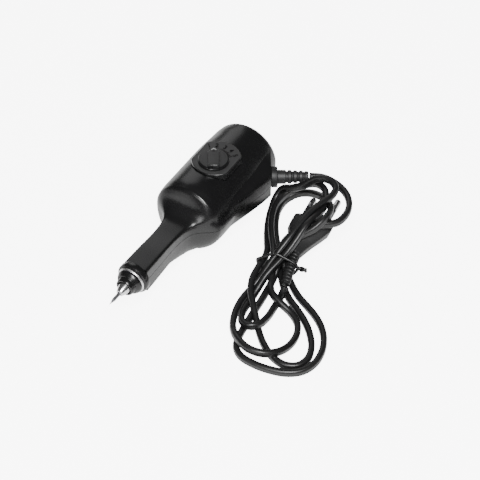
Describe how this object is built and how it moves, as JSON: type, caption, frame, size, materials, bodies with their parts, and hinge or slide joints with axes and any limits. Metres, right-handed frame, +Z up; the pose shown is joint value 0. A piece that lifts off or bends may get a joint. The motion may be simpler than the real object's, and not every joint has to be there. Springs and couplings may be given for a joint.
{
  "type": "electric vibrating engraving pen",
  "caption": "Mains vibrating engraver with a hard needle in a chuck, a stroke dial on top and a flat lead tied in a hank with a flat two-pin plug.",
  "frame": {"origin": "on the flat underneath the body, below the tool's axis and 104 mm behind the needle's point", "axes": "+Z up out of the dial, +Y along the tool from the needle towards the rear, +X to the side where the lead leaves"},
  "size_m": [0.1438, 0.1611, 0.0532],
  "materials": {
    "black_case": "glossy moulded",
    "black_knob": "semi-gloss moulded",
    "tie_black": "plastic-coated wire",
    "rubber": "matt moulded",
    "cord_black": "smooth flexible sheath",
    "plug_black": "satin moulded",
    "bright_metal": "bright plated",
    "steel": "turned and plated",
    "hard_steel": "ground",
    "bronze": "sintered",
    "core_steel": "stamped sheet",
    "copper": "enamelled wire",
    "tan_plastic": "moulded",
    "brown_wire": "wire insulation",
    "blue_wire": "wire insulation",
    "label_metal": "satin sheet"
  },
  "bodies": {
    "case": {"housing_top": "black_case", "housing_bottom": "black_case", "nose_collar": "black_case", "nose_ring": "bright_metal", "nose_cap": "black_case", "front_bush": "bronze", "rear_bush": "bronze", "return_spring": "steel", "magnet_core": "core_steel", "core_screw_left": "steel", "core_screw_right": "steel", "coil_bobbin": "tan_plastic", "coil_winding": "copper", "dial_plate": "black_case", "stop_arm": "steel", "stop_pad": "rubber", "cord_boot": "rubber", "lead_sheath": "rubber", "cord_clamp": "tan_plastic", "clamp_screw_left": "steel", "clamp_screw_right": "steel", "terminal_block": "tan_plastic", "lead_live": "brown_wire", "lead_neutral": "blue_wire", "coil_lead_left": "brown_wire", "coil_lead_right": "blue_wire", "housing_screw_front_left": "steel", "housing_screw_front_right": "steel", "housing_screw_rear_left": "steel", "housing_screw_rear_right": "steel", "rating_plate": "label_metal", "power_cord": "cord_black", "cord_tie": "tie_black", "plug_body": "plug_black", "plug_pin_left": "bright_metal", "plug_pin_right": "bright_metal"},
    "needle_rod": {"drive_shaft": "steel", "chuck": "bright_metal", "engraving_needle": "hard_steel", "chuck_set_screw": "steel", "armature": "core_steel", "shaft_nut": "steel"},
    "dial": {"dial_knob": "black_knob", "stroke_cam": "tan_plastic", "cam_screw": "steel"}
  },
  "joints": [
    {"name": "needle_stroke", "type": "slide", "parent": "case", "child": "needle_rod", "axis": [0, 1, 0], "range_m": [0, 0.0012], "stiffness_N_per_m": 2500, "springref_m": -0.0008, "deforming": ["return_spring"]},
    {"name": "dial_turn", "type": "hinge", "parent": "case", "child": "dial", "pos_m": [0.001, 0.0105, 0.04], "axis": [0, 0, 1], "range_deg": [-71, 12.5]}
  ]
}
